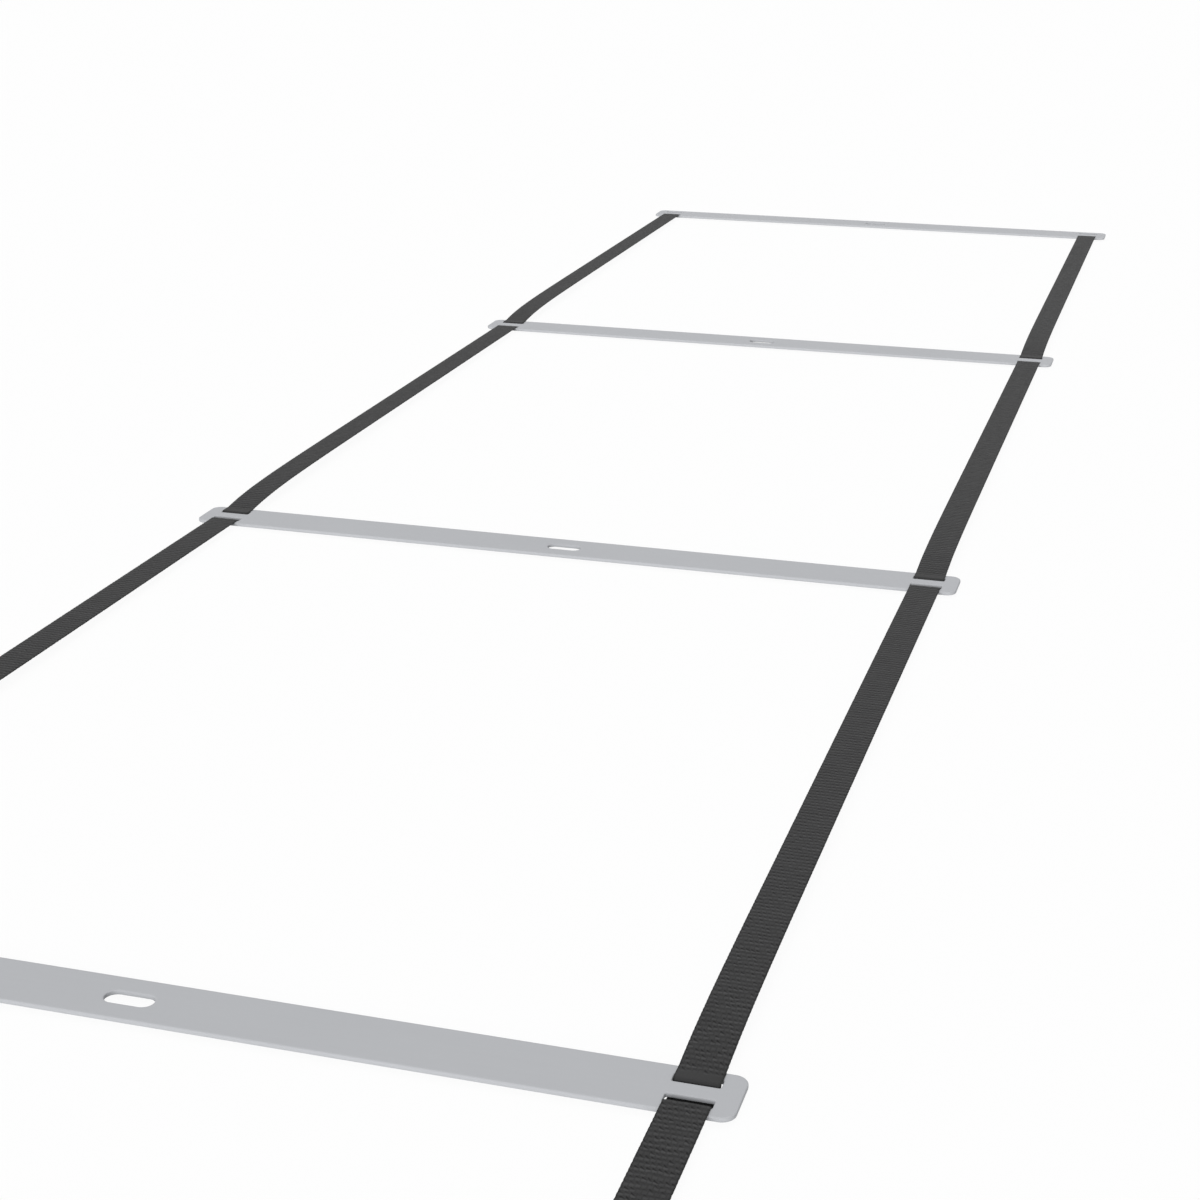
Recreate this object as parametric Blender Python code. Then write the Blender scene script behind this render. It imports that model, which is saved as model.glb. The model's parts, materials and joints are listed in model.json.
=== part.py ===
"""Agility ladder: flat plastic rungs threaded on two long webbing straps, laid out on a floor.

The far end's rung is number 1 and lies at the highest Y. The straps run along Y, the rungs along X.
The ladder stands on the floor at z = 0, with its middle over the origin.
Every span between two rungs can fold at its middle, and every rung but the two end ones can slide
along the straps. Each fold has an empty on its axis, and each sliding rung has one at its centre.
"""

import math

import bmesh
import bpy
from mathutils import Vector

# The ladder as a whole
RUNG_COUNT = 8
RUNG_SPACING = 0.500

# A rung: a flat slat with rounded corners and softened edges
RUNG_LENGTH = 0.432
RUNG_WIDTH = 0.0258
RUNG_THICKNESS = 0.0018
RUNG_CORNER_RADIUS = 0.0052
RUNG_EDGE_BEVEL = 0.0004

# The round-ended hole in the middle of a rung
HOLE_LENGTH = 0.0187
HOLE_WIDTH = 0.0076

# The cross slots near a rung's ends, two for each strap, with a bar between them
SLOT_WIDTH = 0.0048
SLOT_CORNER_RADIUS = 0.0008
SLOT_SIDE_PLAY = 0.00025
BAR_WIDTH = 0.0073

# The webbing straps. Each lies inside a rung's end by the margin, and stops short of the end rungs' edges
STRAP_WIDTH = 0.0160
STRAP_THICKNESS = 0.0008
STRAP_END_MARGIN = 0.0082
STRAP_TAIL_INSET = 0.0014

# Where a strap's lower and upper bend lie in a slot, as shares of the slot's width away from the bar.
# It hugs the bar's far edge, and runs on flat past the bar's near edge before it turns up at the margin
FAR_SLOT_BEND_SHARES = (0, 0.4)
NEAR_SLOT_BEND_SHARES = (0.6, 1)

# A span rises steadily away from one rung, then falls away steeply to the next one
SPAN_RISE = 0.0034
SPAN_FALL_LENGTH = 0.0290

# How far the stretch of strap that goes with a rung reaches past the rung's edges
THREAD_OVERHANG = 0.0071

# Clearance between pieces that touch
CLEARANCE = 0.0003

# Colours and finishes
RUNG_COLOR = (0.47, 0.475, 0.495)
RUNG_ROUGHNESS = 0.45
STRAP_COLOR = (0.052, 0.052, 0.052)
STRAP_ROUGHNESS = 0.85

# How finely round shapes are drawn: steps in a quarter turn, in a bend or in a stretch of strap
CORNER_STEPS = 4
SLOT_CORNER_STEPS = 2
HOLE_END_STEPS = 5
STRAP_BEND_STEPS = 3
FALL_STEPS = 8
RISE_STEPS = 2
BEVEL_STEPS = 1
BEVEL_PROFILE = 0.5

# Edges that turn by more than the first angle are rims; faces that meet at more than the second look sharp
RIM_ANGLE = math.radians(60)
SHARP_ANGLE = math.radians(25)

# Points of an outline this share of a bevel's width apart are one point
MERGE_SHARE = 0.1

# Where a rung sits: its strap passes under the bar and carries it
RUNG_BOTTOM = STRAP_THICKNESS + CLEARANCE
RUNG_TOP = RUNG_BOTTOM + RUNG_THICKNESS
SLOT_LENGTH = STRAP_WIDTH + 2 * SLOT_SIDE_PLAY
SLOT_OFFSET = (BAR_WIDTH + SLOT_WIDTH) / 2

# A strap's places along a rung and across it, from the rung's middle
STRAP_OFFSET = RUNG_LENGTH / 2 - STRAP_END_MARGIN - STRAP_WIDTH / 2
STRAP_TAIL = RUNG_WIDTH / 2 - STRAP_TAIL_INSET
THREAD_REACH = RUNG_WIDTH / 2 + THREAD_OVERHANG

# Heights of a strap's middle layer: under the bar, over a margin, and how it bends round an edge
STRAP_LOW = STRAP_THICKNESS / 2
BEND_RADIUS = STRAP_THICKNESS / 2 + CLEARANCE
STRAP_HIGH = RUNG_TOP + BEND_RADIUS
SPAN_LENGTH = RUNG_SPACING - RUNG_WIDTH

SIDES = {"left": -1, "right": 1}


# Where things are


def rung_y(number):
    """The middle of a rung along the ladder. Rung 1 is the far end."""
    return ((RUNG_COUNT + 1) / 2 - number) * RUNG_SPACING


def span_height(from_far_rung):
    """Height of a strap's middle layer in a span, at a distance from the edge of the span's far rung."""
    to_near_rung = SPAN_LENGTH - from_far_rung
    climb = SPAN_RISE * from_far_rung / SPAN_LENGTH
    return STRAP_HIGH + climb - SPAN_RISE * math.exp(-to_near_rung / SPAN_FALL_LENGTH)


def near_height(distance):
    """The strap's height on a rung's near side, at a distance from the rung's middle."""
    return span_height(distance - RUNG_WIDTH / 2)


def far_height(distance):
    """The strap's height on a rung's far side, at a distance from the rung's middle."""
    return span_height(SPAN_LENGTH + RUNG_WIDTH / 2 - distance)


def fold_place(number):
    """The axis between section number and the next one: halfway along the span, at the strap's height."""
    return Vector((0, rung_y(number) - RUNG_SPACING / 2, span_height(SPAN_LENGTH / 2)))


# Empties and objects

PLACES = {}


def attach(obj, place, parent=None):
    """Puts an object at a place in the ladder's frame, under its parent empty."""
    PLACES[obj.name] = Vector(place)
    obj.parent = parent
    obj.location = PLACES[obj.name] - (PLACES[parent.name] if parent else Vector())
    return obj


def add_empty(name, place, parent=None):
    empty = bpy.data.objects.new(name, None)
    empty.empty_display_size = RUNG_WIDTH
    bpy.context.scene.collection.objects.link(empty)
    return attach(empty, place, parent)


def add_object(name, mesh, material, place, parent):
    mesh.materials.clear()
    mesh.materials.append(material)
    obj = bpy.data.objects.new(name, mesh)
    bpy.context.scene.collection.objects.link(obj)
    return attach(obj, place, parent)


def new_material(name, color, roughness, metallic):
    material = bpy.data.materials.new(name)
    material.use_nodes = True
    shader = material.node_tree.nodes["Principled BSDF"]
    shader.inputs["Base Color"].default_value = (*color, 1)
    shader.inputs["Roughness"].default_value = roughness
    shader.inputs["Metallic"].default_value = metallic
    return material


# Outlines in the plane of a rung


def rounded_outline(centre, length, width, radius, steps):
    """Corner points of a rectangle with round corners, going round once."""
    points = []
    for quarter, (side_x, side_y) in enumerate([(1, 1), (-1, 1), (-1, -1), (1, -1)]):
        corner_x = centre[0] + side_x * (length / 2 - radius)
        corner_y = centre[1] + side_y * (width / 2 - radius)
        for step in range(steps + 1):
            angle = (quarter + step / steps) * math.pi / 2
            points.append((corner_x + radius * math.cos(angle), corner_y + radius * math.sin(angle)))
    return points


def add_loop(bm, points):
    """A closed ring of edges through the points, at z = 0."""
    verts = [bm.verts.new((x, y, 0)) for x, y in points]
    for first, second in zip(verts, verts[1:] + verts[:1]):
        bm.edges.new((first, second))


def finished_mesh(bm, name):
    mesh = bpy.data.meshes.new(name)
    bm.to_mesh(mesh)
    bm.free()
    return mesh


def rung_mesh():
    """A slat with its slots and its hole, its underside at z = 0, all its rims softened."""
    bm = bmesh.new()
    add_loop(bm, rounded_outline((0, 0), RUNG_LENGTH, RUNG_WIDTH, RUNG_CORNER_RADIUS, CORNER_STEPS))
    for side in SIDES.values():
        for end in (-1, 1):
            centre = (side * STRAP_OFFSET, end * SLOT_OFFSET)
            add_loop(
                bm, rounded_outline(centre, SLOT_LENGTH, SLOT_WIDTH, SLOT_CORNER_RADIUS, SLOT_CORNER_STEPS)
            )
    add_loop(bm, rounded_outline((0, 0), HOLE_LENGTH, HOLE_WIDTH, HOLE_WIDTH / 2, HOLE_END_STEPS))
    bmesh.ops.remove_doubles(bm, verts=bm.verts, dist=RUNG_EDGE_BEVEL * MERGE_SHARE)
    bmesh.ops.triangle_fill(bm, use_beauty=True, edges=bm.edges[:])
    raised = bmesh.ops.extrude_face_region(bm, geom=bm.faces[:])["geom"]
    raised_verts = [item for item in raised if isinstance(item, bmesh.types.BMVert)]
    bmesh.ops.translate(bm, verts=raised_verts, vec=(0, 0, RUNG_THICKNESS))
    bmesh.ops.recalc_face_normals(bm, faces=bm.faces)
    rims = [edge for edge in bm.edges if edge.calc_face_angle() > RIM_ANGLE]
    rims = [edge for edge in rims if abs(edge.verts[0].co.z - edge.verts[1].co.z) < RUNG_THICKNESS / 2]
    bmesh.ops.bevel(
        bm,
        geom=rims,
        offset=RUNG_EDGE_BEVEL,
        offset_type="OFFSET",
        affect="EDGES",
        segments=BEVEL_STEPS,
        profile=BEVEL_PROFILE,
        material=-1,
    )
    mesh = finished_mesh(bm, "rung")
    mesh.shade_smooth()
    mesh.set_sharp_from_angle(angle=SHARP_ANGLE)
    return mesh


# The strap's line, as (y, z) points of its middle layer, seen from a rung's middle


def slot_line(end, bend_shares):
    """Through one slot, from the strap's flat run under the bar up to the height of the margin.

    The two bends have the same radius, so the straight stretch between them is the inner tangent of
    two circles, which leans by the angle to the line between their centres plus asin(2 r / distance).
    """
    low_share, high_share = bend_shares
    low_bend = Vector((BAR_WIDTH / 2 + SLOT_WIDTH * low_share, RUNG_BOTTOM))
    high_bend = Vector((BAR_WIDTH / 2 + SLOT_WIDTH * high_share, RUNG_TOP))
    between = high_bend - low_bend
    lean = math.atan2(between.y, between.x) + math.asin(2 * BEND_RADIUS / between.length)
    points = []
    for step in range(STRAP_BEND_STEPS + 1):
        angle = lean * step / STRAP_BEND_STEPS
        points.append(low_bend + BEND_RADIUS * Vector((math.sin(angle), -math.cos(angle))))
    for step in range(STRAP_BEND_STEPS + 1):
        angle = lean * (1 - step / STRAP_BEND_STEPS)
        points.append(high_bend + BEND_RADIUS * Vector((-math.sin(angle), math.cos(angle))))
    return [(end * point.x, point.y) for point in points]


def far_line(start, stop):
    """On a rung's far side, between two distances from its middle: the steep fall seen backwards."""
    distances = [start * (stop / start) ** (step / FALL_STEPS) for step in range(FALL_STEPS + 1)]
    return [(distance, far_height(distance)) for distance in distances]


def near_line(start, stop):
    """On a rung's near side, between two distances from its middle: the steady climb."""
    distances = [start + (stop - start) * step / RISE_STEPS for step in range(RISE_STEPS + 1)]
    return [(-distance, near_height(distance)) for distance in distances]


def far_margin_line(reach):
    """Over the far margin and on to where the threaded stretch ends."""
    edge = RUNG_WIDTH / 2
    halfway = (edge + reach) / 2
    return [(edge, STRAP_HIGH), (halfway, far_height(halfway)), (reach, far_height(reach))]


def near_margin_line(reach):
    """Over the near margin and on to where the threaded stretch ends."""
    return [(-RUNG_WIDTH / 2, STRAP_HIGH), (-reach, near_height(reach))]


def thread_line(number):
    """Through a rung, from its far side to its near side. At an end rung the strap stops underneath."""
    reach = THREAD_REACH - CLEARANCE / 2
    far_part = [(STRAP_TAIL, STRAP_LOW)]
    near_part = [(-STRAP_TAIL, STRAP_LOW)]
    if number > 1:
        far_part = far_margin_line(reach)[::-1] + slot_line(1, FAR_SLOT_BEND_SHARES)[::-1]
    if number < RUNG_COUNT:
        near_part = slot_line(-1, NEAR_SLOT_BEND_SHARES) + near_margin_line(reach)
    return far_part + near_part


def strap_mesh(name, line):
    """Webbing along a line: the line is swept across the strap's width and given its thickness."""
    bm = bmesh.new()
    verts = [bm.verts.new((-STRAP_WIDTH / 2, y, z)) for y, z in line]
    edges = [bm.edges.new(pair) for pair in zip(verts, verts[1:])]
    swept = bmesh.ops.extrude_edge_only(bm, edges=edges)["geom"]
    swept_verts = [item for item in swept if isinstance(item, bmesh.types.BMVert)]
    bmesh.ops.translate(bm, verts=swept_verts, vec=(STRAP_WIDTH, 0, 0))
    bmesh.ops.recalc_face_normals(bm, faces=bm.faces)
    return finished_mesh(bm, name)


def add_strap(name, side, line, material, number, parent):
    """A stretch of strap on one side of the ladder, drawn from the middle of a rung."""
    place = (SIDES[side] * STRAP_OFFSET, rung_y(number), 0)
    obj = add_object(name, strap_mesh(name, line), material, place, parent)
    webbing = obj.modifiers.new("webbing", "SOLIDIFY")
    webbing.thickness = STRAP_THICKNESS
    webbing.offset = 0
    webbing.use_even_offset = True
    return obj


def add_straps(number, webbing, section, carrier):
    """Both straps at one rung: the threaded stretch, and the half of each span that starts beside it."""
    half_span = (THREAD_REACH + CLEARANCE / 2, RUNG_SPACING / 2 - CLEARANCE / 2)
    for side in SIDES:
        add_strap(f"{side}_strap_thread_{number}", side, thread_line(number), webbing, number, carrier)
        if number > 1:
            add_strap(f"{side}_strap_far_{number}", side, far_line(*half_span), webbing, number, section)
        if number < RUNG_COUNT:
            add_strap(f"{side}_strap_near_{number}", side, near_line(*half_span), webbing, number, section)


def build():
    for obj in list(bpy.data.objects):
        bpy.data.objects.remove(obj, do_unlink=True)
    plastic = new_material("rung plastic", RUNG_COLOR, RUNG_ROUGHNESS, 0)
    webbing = new_material("strap webbing", STRAP_COLOR, STRAP_ROUGHNESS, 0)
    slat = rung_mesh()
    section = None
    for number in range(1, RUNG_COUNT + 1):
        rung_place = Vector((0, rung_y(number), RUNG_BOTTOM))
        if number == 1:
            section = add_empty(f"section_{number}", rung_place)
        else:
            section = add_empty(f"section_{number}", fold_place(number - 1), section)
        carrier = section
        if 1 < number < RUNG_COUNT:
            carrier = add_empty(f"slider_{number}", rung_place, section)
        add_object(f"rung_{number}", slat, plastic, rung_place, carrier)
        add_straps(number, webbing, section, carrier)


build()
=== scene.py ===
# %% [markdown]
# # An agility ladder in Blender
# The real object is a training aid for footwork: thin plastic rungs threaded on two long straps of black
# webbing, laid out flat on a floor. This lesson dresses a plain model of it. The plain model says where
# every rung and strap lies and what moves; the lesson adds the fine shapes, the finishes, the light and
# the camera.
#
# The plain model could be shown as it is, with better materials. Its straps are smooth bands, though, and
# its rungs have coarse corners, so here each gets a finer shape that stands in the same place.

# %% Load the plain model
import json
import math

import bmesh
import bpy
from mathutils import Matrix, Vector, noise

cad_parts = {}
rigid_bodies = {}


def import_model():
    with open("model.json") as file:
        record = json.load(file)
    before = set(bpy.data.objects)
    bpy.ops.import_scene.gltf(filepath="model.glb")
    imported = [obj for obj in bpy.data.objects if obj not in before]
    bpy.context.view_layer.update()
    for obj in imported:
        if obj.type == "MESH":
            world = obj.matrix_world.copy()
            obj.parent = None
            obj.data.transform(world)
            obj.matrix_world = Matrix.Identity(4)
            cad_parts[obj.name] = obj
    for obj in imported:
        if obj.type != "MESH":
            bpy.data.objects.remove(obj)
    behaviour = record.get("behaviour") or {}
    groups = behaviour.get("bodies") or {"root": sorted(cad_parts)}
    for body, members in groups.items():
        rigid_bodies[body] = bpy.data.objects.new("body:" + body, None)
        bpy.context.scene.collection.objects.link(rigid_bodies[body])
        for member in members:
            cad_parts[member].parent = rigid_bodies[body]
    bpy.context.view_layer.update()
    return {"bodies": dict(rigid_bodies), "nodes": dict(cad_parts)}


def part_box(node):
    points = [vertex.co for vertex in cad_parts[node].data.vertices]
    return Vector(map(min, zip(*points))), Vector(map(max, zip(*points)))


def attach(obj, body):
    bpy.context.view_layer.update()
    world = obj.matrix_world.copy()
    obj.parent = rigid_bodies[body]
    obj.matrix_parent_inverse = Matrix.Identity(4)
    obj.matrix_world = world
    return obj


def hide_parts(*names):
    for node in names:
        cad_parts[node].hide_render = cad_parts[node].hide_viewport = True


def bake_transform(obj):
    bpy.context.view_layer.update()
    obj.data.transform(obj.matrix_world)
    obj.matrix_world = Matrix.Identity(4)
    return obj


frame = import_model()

rung_numbers = range(1, 1 + sum(name.startswith("rung_") for name in frame["nodes"]))
last_rung = rung_numbers[-1]

# %% [markdown]
# ## Camera
# The photograph looks along the ladder from above its near part, a little to the left, through a long
# lens. A camera can be placed by eye, but the lines of a ladder are a good ruler: its rungs are parallel
# and evenly spaced, so the place and the lens below were worked out from where they lie in the picture.
# The place is measured from the middle of the farthest rung, whose height above the floor comes with it.

# %% Camera at the photograph's view
SENSOR_WIDTH = 36
LENS = 65.706
CAMERA_PLACE = Vector((0.34228, -2.08574, 0.39100))
CAMERA_TILT = math.radians(69.7387)
CAMERA_TURN = math.radians(16.505)

far_rung_low, far_rung_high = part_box("rung_1")
far_rung_middle = (far_rung_low + far_rung_high) / 2
far_rung_middle.z = 0
camera_data = bpy.data.cameras.new("photo camera")
camera_data.sensor_width = SENSOR_WIDTH
camera_data.lens = LENS
camera = bpy.data.objects.new("photo_camera", camera_data)
camera.location = far_rung_middle + CAMERA_PLACE
camera.location.z += far_rung_low.z
camera.rotation_euler = (CAMERA_TILT, 0, CAMERA_TURN)
bpy.context.scene.collection.objects.link(camera)
bpy.context.scene.camera = camera
print("camera at", [round(place, 3) for place in camera.location])

# %% [markdown]
# ## Helpers for node materials
# Every finish here is made of shader nodes, and a few short helpers keep that readable. One adds a node
# with its settings and input values, where an input may be given another node's output instead of a
# value, and then the two are linked. Others do a sum, move a value from one span to another, mix two
# colours, and start a node group with named sockets.


# %% Node helpers
def add_node(tree, kind, inputs=None, **settings):
    node = tree.nodes.new(kind)
    for name, value in settings.items():
        setattr(node, name, value)
    for name, value in (inputs or {}).items():
        if isinstance(value, bpy.types.NodeSocket):
            tree.links.new(value, node.inputs[name])
        else:
            node.inputs[name].default_value = value
    return node


def maths(tree, operation, *values, clamp=False):
    inputs = dict(enumerate(values))
    return add_node(tree, "ShaderNodeMath", inputs, operation=operation, use_clamp=clamp).outputs[0]


def ramp(tree, share, start, end):
    """The start where the share is 0, the end where it is 1, and evenly between."""
    return maths(tree, "MULTIPLY_ADD", share, end - start, start)


def map_span(tree, value, to_span, from_span=(0, 1)):
    """Moves a value from one span into another, and keeps it there."""
    ends = zip(("From Min", "From Max", "To Min", "To Max"), (*from_span, *to_span))
    return add_node(tree, "ShaderNodeMapRange", {"Value": value, **dict(ends)}).outputs[0]


def mix_colours(tree, factor, first, second):
    node = add_node(tree, "ShaderNodeMix", data_type="RGBA")
    for index, value in ((0, factor), (6, first), (7, second)):
        if isinstance(value, bpy.types.NodeSocket):
            tree.links.new(value, node.inputs[index])
        else:
            node.inputs[index].default_value = value
    return node.outputs[2]


def new_group(name, inputs, outputs):
    group = bpy.data.node_groups.new(name, "ShaderNodeTree")
    for socket, kind in inputs.items():
        group.interface.new_socket(socket, in_out="INPUT", socket_type=kind)
    for socket, kind in outputs.items():
        group.interface.new_socket(socket, in_out="OUTPUT", socket_type=kind)
    return group, add_node(group, "NodeGroupInput").outputs, add_node(group, "NodeGroupOutput").inputs


def place_group(tree, group, inputs):
    return add_node(tree, "ShaderNodeGroup", inputs, node_tree=group).outputs


def new_material(name):
    material = bpy.data.materials.new(name)
    material.use_nodes = True
    return material, material.node_tree, material.node_tree.nodes["Principled BSDF"]


# %% [markdown]
# ## Floor and light
# The floor of the photograph is white right up to the ladder, with only a breath of shadow. A lamp strong
# enough to burn a floor white would also bleach the rungs, so the camera and mirror-like rays look mostly
# through the floor into a sky that is pure white for them. The rest of the floor is a plain pale surface
# that takes the shadow and throws light back up under the ladder, as a real floor does. Being nearly
# clear, it also shows what a fold of the ladder carries below it, and it lets the suns shine on that.
#
# Light comes from a pale sky all round and two wide soft suns over the length of the ladder. A low one in
# front makes the near edges of the rungs a little lighter than their tops. A high one behind leaves the
# deep parts of the slots in the shade of the rungs' bars. One bright sky would be simpler, but it would
# fill the slots with light. Neither sun comes from the side, so the ladder throws no shadow beside its
# straps.

# %% White floor
FLOOR_SIDE = 40.0
FLOOR_DROP = 0.0002
FLOOR_CLEAR_SHARE = 0.95
FLOOR_TONE = 0.78


def seen_rays(tree):
    """1 for rays that look at the backdrop: from the camera, off a gloss or through glass."""
    path = add_node(tree, "ShaderNodeLightPath").outputs
    mirrored = maths(tree, "ADD", path["Is Glossy Ray"], path["Is Transmission Ray"])
    return maths(tree, "ADD", path["Is Camera Ray"], mirrored, clamp=True)


floor_mesh = bpy.data.meshes.new("floor")
bm = bmesh.new()
bmesh.ops.create_grid(bm, x_segments=1, y_segments=1, size=FLOOR_SIDE / 2)
bmesh.ops.translate(bm, verts=bm.verts, vec=(0, 0, -FLOOR_DROP))
bm.to_mesh(floor_mesh)
bm.free()
floor = bpy.data.objects.new("floor", floor_mesh)
bpy.context.scene.collection.objects.link(floor)

floor_material, tree, shader = new_material("white floor")
shader.inputs["Base Color"].default_value = (FLOOR_TONE, FLOOR_TONE, FLOOR_TONE, 1)
shader.inputs["Roughness"].default_value = 1
shader.inputs["Specular IOR Level"].default_value = 0
lamp_rays = add_node(tree, "ShaderNodeLightPath").outputs["Is Shadow Ray"]
from_below = add_node(tree, "ShaderNodeNewGeometry").outputs["Backfacing"]
passing = maths(tree, "MULTIPLY_ADD", lamp_rays, from_below, seen_rays(tree), clamp=True)
share = maths(tree, "MULTIPLY", passing, FLOOR_CLEAR_SHARE)
clear = add_node(tree, "ShaderNodeBsdfTransparent")
mixed = add_node(tree, "ShaderNodeMixShader", {0: share, 1: shader.outputs[0], 2: clear.outputs[0]})
tree.links.new(mixed.outputs[0], tree.nodes["Material Output"].inputs["Surface"])
floor.data.materials.append(floor_material)
print("floor:", FLOOR_SIDE, "m square")

# %% Sky and suns
SKY_LEVEL = 0.40
SUN_WIDTH = math.radians(35)
SUNS = {
    "front sun": (2.35, Vector((-0.05, -0.95, 0.31))),
    "back sun": (1.43, Vector((-0.05, 0.57, 0.82))),
}

world = bpy.data.worlds.new("white sky")
world.use_nodes = True
tree = world.node_tree
sky = tree.nodes["Background"]
sky.inputs["Color"].default_value = (1, 1, 1, 1)
seen = seen_rays(tree)
level = ramp(tree, seen, SKY_LEVEL, 1)
tree.links.new(level, sky.inputs["Strength"])
bpy.context.scene.world = world

for name, (sun_level, comes_from) in SUNS.items():
    sun_data = bpy.data.lights.new(name, "SUN")
    sun_data.energy = sun_level
    sun_data.angle = SUN_WIDTH
    sun = bpy.data.objects.new(name.replace(" ", "_"), sun_data)
    sun.rotation_euler = comes_from.to_track_quat("Z", "Y").to_euler()
    bpy.context.scene.collection.objects.link(sun)
bpy.context.scene.view_settings.view_transform = "Standard"
print("sky", SKY_LEVEL, "suns", len(SUNS))

# %% [markdown]
# ## Plastic for the rungs
# The rungs are cut from a pale grey plastic sheet with a satin skin. A single grey would look like paint,
# so three small things are added, all from one group that makes soft patches of any size: the tone drifts
# slightly over a hand's width, fine streaks run along the rung where the sheet was drawn, and a very
# fine grain roughens the gloss. The patches read the object's own coordinates, which are metres here.

# %% Soft patches, shared by both finishes
CLOUDS = {"Detail": 3, "Roughness": 0.55}

patches, given, result = new_group(
    "soft patches",
    {"Vector": "NodeSocketVector", "Size": "NodeSocketFloat", "Swing": "NodeSocketFloat"},
    {"Factor": "NodeSocketFloat"},
)
scale = maths(patches, "DIVIDE", 1.0, given["Size"])
clouds = add_node(patches, "ShaderNodeTexNoise", {"Vector": given["Vector"], "Scale": scale, **CLOUDS})
centred = maths(patches, "SUBTRACT", clouds.outputs["Fac"], 0.5)
swung = maths(patches, "MULTIPLY", centred, given["Swing"])
patches.links.new(maths(patches, "ADD", swung, 0.5, clamp=True), result["Factor"])
print("group:", patches.name)

# %% Satin plastic
PLASTIC_DARK = (0.434, 0.443, 0.462, 1)
PLASTIC_LIGHT = (0.472, 0.481, 0.500, 1)
PLASTIC_ROUGHNESS = (0.50, 0.66)
PLASTIC_SPECULAR = 0.03
DRIFT = {"Size": 0.09, "Swing": 1.2}
STREAKS = {"Size": 0.0016, "Swing": 1.0}
STREAK_STRETCH = (0.04, 1.0, 1.0)
STREAK_SHARE = 0.35
GRAIN = {"Size": 0.0004, "Swing": 1.5}
GRAIN_BUMP = {"Strength": 0.25, "Distance": 0.00005}

plastic, tree, shader = new_material("satin grey plastic")
place = add_node(tree, "ShaderNodeTexCoord").outputs["Object"]
drawn = add_node(tree, "ShaderNodeMapping", {"Vector": place, "Scale": STREAK_STRETCH}).outputs[0]
drift = place_group(tree, patches, {"Vector": place, **DRIFT})["Factor"]
streaks = place_group(tree, patches, {"Vector": drawn, **STREAKS})["Factor"]
grain = place_group(tree, patches, {"Vector": place, **GRAIN})["Factor"]
tone = maths(tree, "MULTIPLY", drift, 1 - STREAK_SHARE)
tone = maths(tree, "MULTIPLY_ADD", streaks, STREAK_SHARE, tone)
colour = mix_colours(tree, tone, PLASTIC_DARK, PLASTIC_LIGHT)
bump = add_node(tree, "ShaderNodeBump", {"Height": grain, **GRAIN_BUMP})
shader.inputs["Specular IOR Level"].default_value = PLASTIC_SPECULAR
tree.links.new(colour, shader.inputs["Base Color"])
tree.links.new(map_span(tree, grain, PLASTIC_ROUGHNESS), shader.inputs["Roughness"])
tree.links.new(bump.outputs[0], shader.inputs["Normal"])
print("material:", plastic.name)

# %% [markdown]
# ## Black webbing for the straps
# The straps are woven from dull black yarn. From a step away one sees rows of low ribs across the strap,
# each broken into cells about as wide as a grain of rice, with a slanting dark dash at the far side of
# each cell where one yarn dives under the next. That dash is shade, and here it is painted into the
# colour. An image of cloth would repeat and blur, so the cells are worked out by a few sums on two counts
# that the strap's mesh carries along: how far across a point is, and how many rows along. The mesh has
# its real ribs from the same counts, so shape and finish agree.
#
# Three kinds of dark line make a cell, all of them painted shade where the yarn dips: the dash, a thin
# seam all along the row, and a joint at the cell's sides. Above them the yarn rises to a crest, which is
# painted lighter as a highlight where the light catches it. Each cell has a number of its own from a
# noise, and a little of everything depends on it, so that no two cells are alike. A third number of the
# mesh says how much of the weave shows, because it is pulled smooth where the strap bends.

# %% Woven cells, as a group
COLUMN_PITCH = 0.0019
DASH_PLACE = 0.10
DASH_SLANT = 0.42
DASH_REACH = 0.26
DASH_STRAY = 0.22
DASH_FADE = 0.7
DASH_BY_CHANCE = (0.3, 1.5)
DASH_BY_ROW = (0.8, 1.2)
SEAM_REACH = 0.16
SEAM_DEPTH = 0.30
JOINT_SHARPNESS = 5.0
JOINT_DEPTH = 0.35
# Where the painted highlight on a cell's crest lies, and how far it reaches.
CREST_PLACE = 0.70
CREST_REACH = 0.30

cells, given, result = new_group(
    "woven cells",
    {"Across": "NodeSocketFloat", "Rows": "NodeSocketFloat", "Column Pitch": "NodeSocketFloat"},
    {"Gap": "NodeSocketFloat", "Crest": "NodeSocketFloat", "Chance": "NodeSocketFloat"},
)
row = maths(cells, "FLOOR", given["Rows"])
down = maths(cells, "FRACT", given["Rows"])
second = maths(cells, "PINGPONG", row, 1.0)
stagger = maths(cells, "MULTIPLY", second, 0.5)
columns = maths(cells, "ADD", maths(cells, "DIVIDE", given["Across"], given["Column Pitch"]), stagger)
aside = maths(cells, "FRACT", columns)
cell = add_node(cells, "ShaderNodeCombineXYZ", {0: maths(cells, "FLOOR", columns), 1: row}).outputs[0]
dice = add_node(cells, "ShaderNodeTexWhiteNoise", {"Vector": cell}, noise_dimensions="2D")
chance = dice.outputs["Value"]


def band(place, reach):
    """1 where the row's own height is at the place, down to 0 at a reach from it."""
    away = maths(cells, "ABSOLUTE", maths(cells, "SUBTRACT", down, place))
    return maths(cells, "SUBTRACT", 1.0, maths(cells, "DIVIDE", away, reach), clamp=True)


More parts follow.
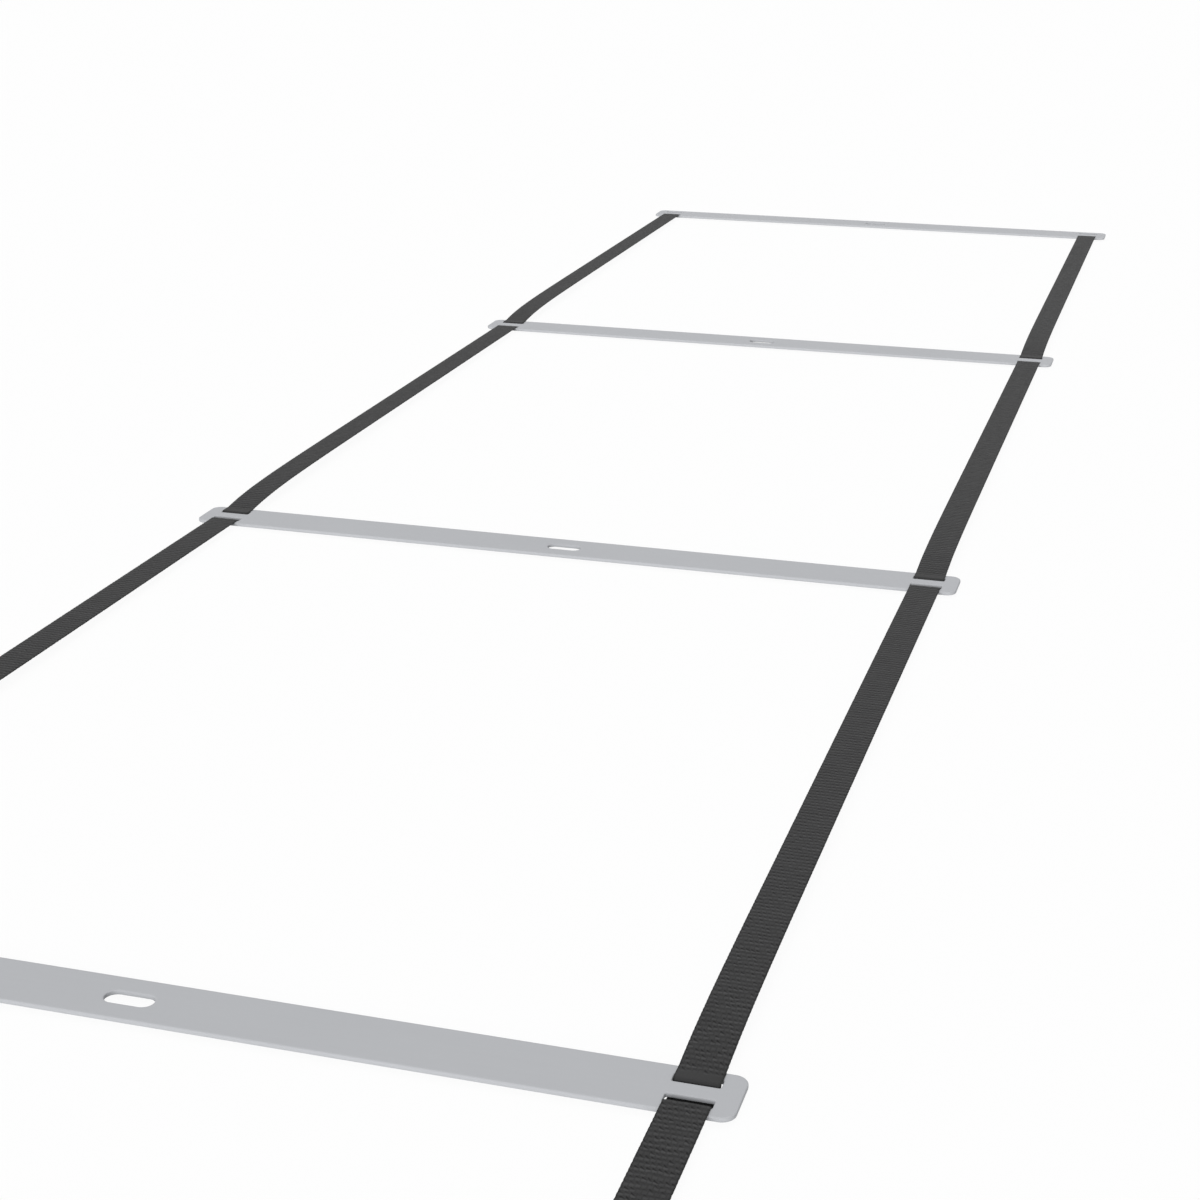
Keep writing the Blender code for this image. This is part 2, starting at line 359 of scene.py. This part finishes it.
slant = maths(cells, "MULTIPLY_ADD", aside, DASH_SLANT, DASH_PLACE - DASH_STRAY / 2)
slant = maths(cells, "MULTIPLY_ADD", chance, DASH_STRAY, slant)
dash = maths(cells, "MULTIPLY", band(slant, DASH_REACH), ramp(cells, aside, 1, 1 - DASH_FADE))
dash = maths(cells, "MULTIPLY", dash, ramp(cells, chance, *DASH_BY_CHANCE))
dash = maths(cells, "MULTIPLY", dash, ramp(cells, second, *DASH_BY_ROW))
seam = maths(cells, "MULTIPLY", band(DASH_PLACE, SEAM_REACH), SEAM_DEPTH)
from_side = maths(cells, "PINGPONG", columns, 0.5)
joint = maths(cells, "MULTIPLY_ADD", from_side, -JOINT_SHARPNESS, 1.0, clamp=True)
joint = maths(cells, "MULTIPLY", joint, JOINT_DEPTH)
# The gap mask: the webbing paints shade into its colour there, and also lowers its bump there.
deepest = maths(cells, "MAXIMUM", maths(cells, "MAXIMUM", dash, seam), joint)
cells.links.new(maths(cells, "MINIMUM", deepest, 1.0), result["Gap"])
cells.links.new(band(CREST_PLACE, CREST_REACH), result["Crest"])
cells.links.new(chance, result["Chance"])
print("group:", cells.name)

# %% Black webbing
ROW_PITCH = 0.00275
YARN_DARK = (0.007, 0.007, 0.007, 1)
YARN_LIGHT = (0.060, 0.060, 0.061, 1)
YARN_ROUGHNESS = (0.78, 0.92)
YARN_GLOSS = {"Sheen Weight": 0.04, "Sheen Roughness": 0.5, "Specular IOR Level": 0.12}
FRAY = {"Size": 0.0005, "Swing": 1.6}
WEAR = {"Size": 0.010, "Swing": 1.6}
GAP_BY_WEAR = (1.45, 0.95)
LIT_LEAST = 0.36
LIT_BY_FRAY = 0.24
LIT_BY_WEAR = 0.14
LIT_BY_CREST = 0.55
GAP_SHADE = 0.95
# Painted shade on the strap's rounded edges: where it starts across the strap, and how dark it gets.
SELVEDGE_SPAN = (0.0071, 0.0080)
SELVEDGE_SHADE = (1.0, 0.35)
FRAY_HEIGHT = 0.35
WEAVE_BUMP = {"Strength": 0.5, "Distance": 0.00012}
WEAVE = "weave"

webbing, tree, shader = new_material("black webbing")
weave = add_node(tree, "ShaderNodeAttribute", attribute_name=WEAVE).outputs["Vector"]
across, rows, shown = add_node(tree, "ShaderNodeSeparateXYZ", {0: weave}).outputs
along = maths(tree, "MULTIPLY", rows, ROW_PITCH)
cloth_place = add_node(tree, "ShaderNodeCombineXYZ", {0: across, 1: along}).outputs[0]
frayed = place_group(tree, patches, {"Vector": cloth_place, **FRAY})["Factor"]
worn = place_group(tree, patches, {"Vector": cloth_place, **WEAR})["Factor"]
woven = place_group(tree, cells, {"Across": across, "Rows": rows, "Column Pitch": COLUMN_PITCH})
gap = maths(tree, "MULTIPLY", woven["Gap"], shown)
gap = maths(tree, "MULTIPLY", gap, ramp(tree, worn, *GAP_BY_WEAR), clamp=True)
# Painted highlight: each cell's crest is made lighter, where the light catches the yarn.
crest = maths(tree, "MULTIPLY", woven["Crest"], shown)
crest = maths(tree, "MULTIPLY", crest, woven["Chance"])

lit = maths(tree, "MULTIPLY_ADD", frayed, LIT_BY_FRAY, LIT_LEAST)
lit = maths(tree, "MULTIPLY_ADD", worn, LIT_BY_WEAR, lit)
lit = maths(tree, "MULTIPLY_ADD", crest, LIT_BY_CREST, lit)
# Painted shade: the colour is darkened in the gaps of the weave, where the yarn dips out of the light.
lit = maths(tree, "MULTIPLY", lit, ramp(tree, gap, 1, 1 - GAP_SHADE))
# Painted shade: the colour is made darker over the strap's rounded edges, where they turn from the light.
selvedge_painted_shade = map_span(tree, maths(tree, "ABSOLUTE", across), SELVEDGE_SHADE, SELVEDGE_SPAN)
colour = mix_colours(tree, maths(tree, "MULTIPLY", lit, selvedge_painted_shade, clamp=True), YARN_DARK, YARN_LIGHT)
surface = maths(tree, "MULTIPLY_ADD", frayed, FRAY_HEIGHT, maths(tree, "SUBTRACT", 1.0, gap))
bump = add_node(tree, "ShaderNodeBump", {"Height": surface, **WEAVE_BUMP})
for name, value in YARN_GLOSS.items():
    shader.inputs[name].default_value = value
tree.links.new(colour, shader.inputs["Base Color"])
tree.links.new(map_span(tree, frayed, YARN_ROUGHNESS), shader.inputs["Roughness"])
tree.links.new(bump.outputs[0], shader.inputs["Normal"])
print("material:", webbing.name)

# %% [markdown]
# ## Rungs
# A rung is a flat slat with round corners, four slots for the straps and a long hole with round ends.
# It could be a box with the holes cut by Booleans and a Bevel modifier for its rims, but a Boolean leaves
# long thin triangles, and a bevel slides along them and creases the flat faces. Here every outline is
# drawn as a stack of rings instead: up from the underside, round the lower rim, up the wall and round the
# upper rim. Each ring is joined to the next by a band of faces, corner to corner, and only the two flat
# faces are filled. A bridge tool would guess which corners belong together, and on long thin rings it can
# guess wrong. Each ring is a circle pulled apart at its quarters, because a long hole and a rounded
# rectangle are both that.
#
# A narrow flat lip runs round each rim, so the shading of the rim does not spread over the flat face.

# %% Rims
RIM_RADIUS = 0.00045
RIM_STEPS = 4
LIP_WIDTH = 0.0006
QUARTER_STEPS = 10

rung_width = far_rung_high.y - far_rung_low.y
rung_thickness = far_rung_high.z - far_rung_low.z


def rounded_ring(bm, centre, size, radius):
    """A circle pulled apart at its quarters until it is a rounded rectangle of the size given."""
    segments = 4 * QUARTER_STEPS
    half_step = Matrix.Rotation(math.pi / segments, 4, "Z")
    ring = bmesh.ops.create_circle(bm, segments=segments, radius=radius, matrix=half_step)["verts"]
    for vert in ring:
        vert.co.x += math.copysign(size[0] / 2 - radius, vert.co.x)
        vert.co.y += math.copysign(size[1] / 2 - radius, vert.co.y)
    bmesh.ops.translate(bm, verts=ring, vec=centre)
    return ring


def neighbours(ring):
    """Each corner of a ring together with the one before it."""
    return list(zip(ring[-1:] + ring[:-1], ring))


def rim_profile():
    """Pairs of inset and height, from the flat underside over both rims to the flat top."""
    turns = [math.pi / 2 * step / RIM_STEPS for step in range(RIM_STEPS + 1)]
    lower = [(RIM_RADIUS * (1 - math.sin(turn)), RIM_RADIUS * (1 - math.cos(turn))) for turn in turns]
    upper = [(inset, rung_thickness - height) for inset, height in lower[::-1]]
    lip = RIM_RADIUS + LIP_WIDTH
    return [(lip, 0)] + lower + upper + [(lip, rung_thickness)]


def rimmed_wall(bm, centre, size, radius, inwards):
    """One outline's wall with both its rims. Gives the edges where it meets each of the flat faces."""
    rings = []
    for inset, height in rim_profile():
        shrink = inset * inwards
        ring_size = (size[0] - 2 * shrink, size[1] - 2 * shrink)
        rings.append(rounded_ring(bm, centre + Vector((0, 0, height)), ring_size, radius - shrink))
    for lower, upper in zip(rings, rings[1:]):
        for (first, second), (fourth, third) in zip(neighbours(lower), neighbours(upper)):
            bm.faces.new((first, second, third, fourth))
    return [[bm.edges.get(pair) for pair in neighbours(ring)] for ring in (rings[0], rings[-1])]


def face_outwards(bm):
    """Turns all faces the same way round, and then outwards if that way was inwards."""
    bmesh.ops.recalc_face_normals(bm, faces=bm.faces)
    if bm.calc_volume(signed=True) < 0:
        bmesh.ops.reverse_faces(bm, faces=bm.faces)


print("rings in a wall:", len(rim_profile()))

# %% Slats
CORNER_RADIUS = 0.0052
HOLE_SIZE = (0.0187, 0.0079)
SLOT_WIDTH = 0.0048
SLOT_SIDE_PLAY = 0.00025
SLOT_CORNER_RADIUS = 0.0008
BAR_WIDTH = 0.0073
OUTWARDS, INWARDS = -1, 1

left_low, left_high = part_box("left_strap_thread_2")
strap_width = left_high.x - left_low.x
strap_centres = {"left": (left_low.x + left_high.x) / 2, "right": -(left_low.x + left_high.x) / 2}


def carrier(number):
    """The body that a rung belongs to: the inner rungs slide along the straps, the end ones do not."""
    slider = f"slider_{number}"
    return slider if slider in frame["bodies"] else f"section_{number}"


def slat_mesh():
    """A slat with its underside's middle at the origin."""
    bm = bmesh.new()
    outline = (far_rung_high.x - far_rung_low.x, rung_width)
    walls = [rimmed_wall(bm, Vector(), outline, CORNER_RADIUS, INWARDS)]
    walls.append(rimmed_wall(bm, Vector(), HOLE_SIZE, HOLE_SIZE[1] / 2, OUTWARDS))
    slot_size = (strap_width + 2 * SLOT_SIDE_PLAY, SLOT_WIDTH)
    for strap_centre in strap_centres.values():
        for end in (-1, 1):
            centre = Vector((strap_centre, end * (BAR_WIDTH + SLOT_WIDTH) / 2, 0))
            walls.append(rimmed_wall(bm, centre, slot_size, SLOT_CORNER_RADIUS, OUTWARDS))
    for rings in zip(*walls):
        bmesh.ops.triangle_fill(bm, use_beauty=True, edges=[edge for ring in rings for edge in ring])
    face_outwards(bm)
    mesh = bpy.data.meshes.new("slat")
    bm.to_mesh(mesh)
    bm.free()
    mesh.shade_smooth()
    mesh.materials.append(plastic)
    return mesh


pattern = slat_mesh()
for number in rung_numbers:
    low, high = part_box(f"rung_{number}")
    mesh = pattern.copy()
    mesh.transform(Matrix.Translation(((low.x + high.x) / 2, (low.y + high.y) / 2, low.z)))
    slat = bpy.data.objects.new(f"slat_{number}", mesh)
    bpy.context.scene.collection.objects.link(slat)
    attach(slat, carrier(number))
    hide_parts(f"rung_{number}")
bpy.data.meshes.remove(pattern)
print("slats:", last_rung, "faces each:", len(mesh.polygons))

# %% [markdown]
# ## The line of a strap
# Each strap is one band from the farthest rung to the nearest. At a rung it goes over the margin, dives
# close to the bar, lies flat on the floor under it, comes up close to the second margin and goes over
# that. Where it bears on the rung it is pulled thin and lies on the plastic. Between rungs it climbs
# slowly, as a slack strap does when the next rung pushes it up from behind, and falls steeply to that
# rung over its last few centimetres. A curve object could hold this line, but a list of points is easier
# to cut where the ladder moves. The points run from far to near, each as a place along the ladder and a
# height.

# %% Heights along a strap
CLEARANCE = 0.0003
CONTACT = 0.00006
PULLED_THIN_SHARE = 0.75
SPAN_RISE = 0.0038
SPAN_FALL_LENGTH = 0.0290
TAIL_INSET = 0.0014
FAR_SLOT_BEND_SHARES = (0, 0.4)
NEAR_SLOT_BEND_SHARES = (0.6, 1)
BEND_STEPS = 7
STEPS_PER_ROW = 5

strap_thickness = far_rung_low.z - CLEARANCE
strap_low = strap_thickness * PULLED_THIN_SHARE / 2
low_radius = far_rung_low.z - strap_low
high_radius = strap_low + CONTACT
strap_high = far_rung_high.z + high_radius
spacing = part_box("rung_1")[0].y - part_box("rung_2")[0].y
span_length = spacing - rung_width
thread_reach = (left_high.y - left_low.y + CLEARANCE) / 2


def rung_y(number):
    return far_rung_middle.y - (number - 1) * spacing


def span_height(from_far_rung):
    climb = SPAN_RISE * from_far_rung / span_length
    return strap_high + climb - SPAN_RISE * math.exp((from_far_rung - span_length) / SPAN_FALL_LENGTH)


def spread(start, stop, step=ROW_PITCH / STEPS_PER_ROW):
    """Evenly spaced values from start to stop, about a step apart."""
    count = max(1, round(abs(stop - start) / step))
    return [start + (stop - start) * index / count for index in range(count + 1)]


def span_line(number, start, stop):
    """The span after a rung, between two distances from that rung's middle."""
    return [(rung_y(number) - away, span_height(away - rung_width / 2)) for away in spread(start, stop)]


def bend_places(bend_shares):
    """How far from a rung's middle the strap's lower and upper bend in a slot lie."""
    return [BAR_WIDTH / 2 + SLOT_WIDTH * share for share in bend_shares]


def slot_line(number, end, bend_shares):
    """From the flat run under the bar up over a margin: a wide bend, a straight and a tight bend."""
    low_place, high_place = bend_places(bend_shares)
    low_bend = Vector((low_place, far_rung_low.z))
    high_bend = Vector((high_place, far_rung_high.z))
    between = high_bend - low_bend
    lean = math.atan2(between.y, between.x) + math.asin((low_radius + high_radius) / between.length)
    turns = [Vector((math.sin(turn), -math.cos(turn))) for turn in spread(0, lean, lean / BEND_STEPS)]
    points = [low_bend + low_radius * turn for turn in turns]
    points += [high_bend - high_radius * turn for turn in turns[::-1]]
    return [(rung_y(number) + end * point.x, point.y) for point in points]


def flat_stretch(number, start, stop, height):
    """Points at one height between two places, which count from the rung's middle towards the far end."""
    return [(rung_y(number) + away, height) for away in spread(start, stop)]


def thread_line(number):
    """Through a rung. At the end rungs the strap stops under a margin, a little short of the edge."""
    edge = rung_width / 2
    tail = edge - TAIL_INSET
    far_low, far_high = bend_places(FAR_SLOT_BEND_SHARES)
    near_low, near_high = bend_places(NEAR_SLOT_BEND_SHARES)
    if number == 1:
        line = flat_stretch(number, tail, far_low, strap_low)
    else:
        line = span_line(number - 1, spacing - thread_reach, spacing - edge)
        line += flat_stretch(number, edge, far_high, strap_high)[1:-1]
        line += slot_line(number, 1, FAR_SLOT_BEND_SHARES)[::-1]
    line += flat_stretch(number, far_low, -near_low, strap_low)[1:-1]
    if number == last_rung:
        line += flat_stretch(number, -near_low, -tail, strap_low)
    else:
        line += slot_line(number, -1, NEAR_SLOT_BEND_SHARES)
        line += flat_stretch(number, -near_high, -edge, strap_high)[1:-1]
        line += span_line(number, edge, thread_reach)
    return line


print("strap", round(strap_thickness * 1000, 2), "mm thick,", round(strap_width * 1000, 1), "mm wide")

# %% [markdown]
# ## Webbing
# A strap is cut into pieces where it moves: one round each rung, one in each half of a span, and a short
# one at each fold. A Solidify modifier on a flat strip would give its thickness, but not its ribs, which
# make the strap thicker and thinner. So each piece starts as a flat grid with one row for each point
# of the line, is made solid, and its vertices are then laid along the line. The columns crowd towards the
# edges, where the strap thins to a rounded selvedge.
#
# The ribs are a wave along the strap whose gaps sway and break up by smooth noise, because real webbing
# is never even. They fade where the strap bends tightly round a rung and is pulled smooth. There it is
# also thinner, and it swells back to its full thickness within a few millimetres.

# %% Ribs
COLUMNS = 24
CROWDING = 0.18
RIB_DEPTH = 0.00020
ROW_SWAY = 0.22
CELL_SWAY = 0.20
ROW_SWAY_SIZE = (0.012, 0.009)
CELL_SWAY_SIZE = (0.0022, 0.0045)
PATCH_SIZE = 0.0035
PATCH_MIDDLE = 0.7
PATCH_LEAST = 0.2
EDGE_SHARE = 0.40
EDGE_POWER = 6
SCALLOP_SHARE = 0.012
SCALLOP_POWER = 8
RIB_GAP_PLACE = DASH_PLACE + DASH_SLANT / 3
SEEDS = {"left": 3.0, "right": 17.0}
SHARP_ANGLE = math.radians(60)
FAR_SMOOTH_SPAN = (0.0075, 0.0120)
NEAR_SMOOTH_SPAN = (0.0065, 0.0100)
FULL_THICKNESS_SPAN = (0.0129, 0.0300)


def smooth_noise(across, along, size, seed):
    return noise.noise(Vector((across / size[0], along / size[1], seed)))


def row_count(across, along, seed):
    """How many rows of weave lie before a point. Smooth noise makes rows sway, and cells a little."""
    sway = ROW_SWAY * smooth_noise(across, along, ROW_SWAY_SIZE, seed)
    sway += CELL_SWAY * smooth_noise(across, along, CELL_SWAY_SIZE, seed)
    return along / ROW_PITCH + sway


def rib_gap(across, rows, seed):
    """0 on top of a rib, 1 in the deepest gap, which some patches of the strap have more than others."""
    wave = 0.5 + 0.5 * math.cos(2 * math.pi * (rows - RIB_GAP_PLACE))
    patchy = smooth_noise(across, rows * ROW_PITCH, (PATCH_SIZE, PATCH_SIZE), seed)
    return wave * wave * min(1, max(PATCH_LEAST, PATCH_MIDDLE + patchy))


def smooth_step(value, span):
    """0 below the span, 1 above it and a soft S between."""
    share = min(1, max(0, (value - span[0]) / (span[1] - span[0])))
    return share * share * (3 - 2 * share)


def from_rung(y):
    """How far a place is from the middle of the nearest rung: above zero on the rung's far side."""
    return min((y - rung_y(number) for number in rung_numbers), key=abs)


def rib_share(y):
    """How much of the ribs shows: none where the strap bends through a rung."""
    away = from_rung(y)
    return smooth_step(abs(away), FAR_SMOOTH_SPAN if away > 0 else NEAR_SMOOTH_SPAN)


def thickness_at(y):
    thin = PULLED_THIN_SHARE
    return strap_thickness * (thin + (1 - thin) * smooth_step(abs(from_rung(y)), FULL_THICKNESS_SPAN))


def line_frames(line, laid):
    """For each point of the line: the point, the direction away from the floor, and the length so far."""
    points = [Vector(point) for point in line]
    frames = []
    for index, point in enumerate(points):
        before = points[max(index - 1, 0)]
        after = points[min(index + 1, len(points) - 1)]
        heading = (after - before).normalized()
        if index:
            laid += (point - before).length
        frames.append((point, Vector((heading.y, -heading.x)), laid))
    return frames


def add_webbing(name, side, line, laid):
    """One piece of a strap along the line. Gives the piece and the strap's length up to its end."""
    frames = line_frames(line, laid)
    rows = len(line) - 1
    bm = bmesh.new()
    bmesh.ops.create_grid(bm, x_segments=COLUMNS, y_segments=rows, size=1)
    bmesh.ops.solidify(bm, geom=bm.faces[:], thickness=1)
    weave_layer = bm.verts.layers.float_vector.new(WEAVE)
    for vert in bm.verts:
        across = vert.co.x
        point, outward, length = frames[round((vert.co.y + 1) / 2 * rows)]
        face = 1 if vert.co.z > -0.5 else -1
        shown = rib_share(point.x)
        wide = strap_width / 2 * across * (1 + CROWDING * (1 - across * across))
        seed = SEEDS[side] + face
        rows_before = row_count(wide, length, seed)
        gap = rib_gap(wide, rows_before, seed) * shown
        edge = 1 - (1 - EDGE_SHARE) * abs(across) ** EDGE_POWER
        rise = face * edge * (thickness_at(point.x) / 2 - RIB_DEPTH * gap)
        wide *= 1 - SCALLOP_SHARE * gap * across**SCALLOP_POWER
        vert[weave_layer] = (wide, rows_before, shown)
        place = point + rise * outward
        vert.co = (strap_centres[side] + wide, place.x, place.y)
    face_outwards(bm)
    mesh = bpy.data.meshes.new(name)
    bm.to_mesh(mesh)
    bm.free()
    mesh.shade_smooth()
    mesh.set_sharp_from_angle(angle=SHARP_ANGLE)
    mesh.materials.append(webbing)
    piece = bpy.data.objects.new(name, mesh)
    bpy.context.scene.collection.objects.link(piece)
    return piece, frames[-1][2]


# %% [markdown]
# ## Both straps, from the far end to the near end
# The piece round a rung goes with that rung. A half span goes with the section at its fold only where
# the rung at its other end is fixed to that section too; elsewhere it stays where it is laid, as does
# the short piece at each fold.

# %% Lay the straps
FOLD_REACH = 0.015


def between(piece, first_body, second_body, start_y, end_y):
    """Puts the piece on the body if both bodies are one, else leaves it where it lies. The places are not
    used.
    """
    if first_body == second_body:
        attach(piece, first_body)
    else:
        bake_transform(piece)


pieces = 0
for side in strap_centres:
    laid = 0.0
    for number in rung_numbers:
        thread, laid = add_webbing(f"{side}_webbing_thread_{number}", side, thread_line(number), laid)
        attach(thread, carrier(number))
        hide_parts(f"{side}_strap_thread_{number}")
        pieces += 1
        if number == last_rung:
            continue
        section, next_section = f"section_{number}", f"section_{number + 1}"
        near_node, far_node = f"{side}_strap_near_{number}", f"{side}_strap_far_{number + 1}"
        fold_start, fold_end = spacing / 2 - FOLD_REACH, spacing / 2 + FOLD_REACH
        cuts = (thread_reach, fold_start, fold_end, spacing - thread_reach)
        cuts = [rung_y(number) - away for away in cuts]

        line = span_line(number, thread_reach, fold_start)
        near_half, laid = add_webbing(f"{side}_webbing_near_{number}", side, line, laid)
        between(near_half, carrier(number), section, cuts[0], cuts[1])
        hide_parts(near_node)

        line = span_line(number, fold_start, fold_end)
        fold, laid = add_webbing(f"{side}_webbing_fold_{number}", side, line, laid)
        between(fold, section, next_section, cuts[1], cuts[2])
        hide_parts(near_node, far_node)

        line = span_line(number, fold_end, spacing - thread_reach)
        far_half, laid = add_webbing(f"{side}_webbing_far_{number + 1}", side, line, laid)
        between(far_half, next_section, carrier(number + 1), cuts[2], cuts[3])
        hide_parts(far_node)
        pieces += 3
    print(side, "strap:", round(laid, 3), "m long")
print("webbing pieces:", pieces)
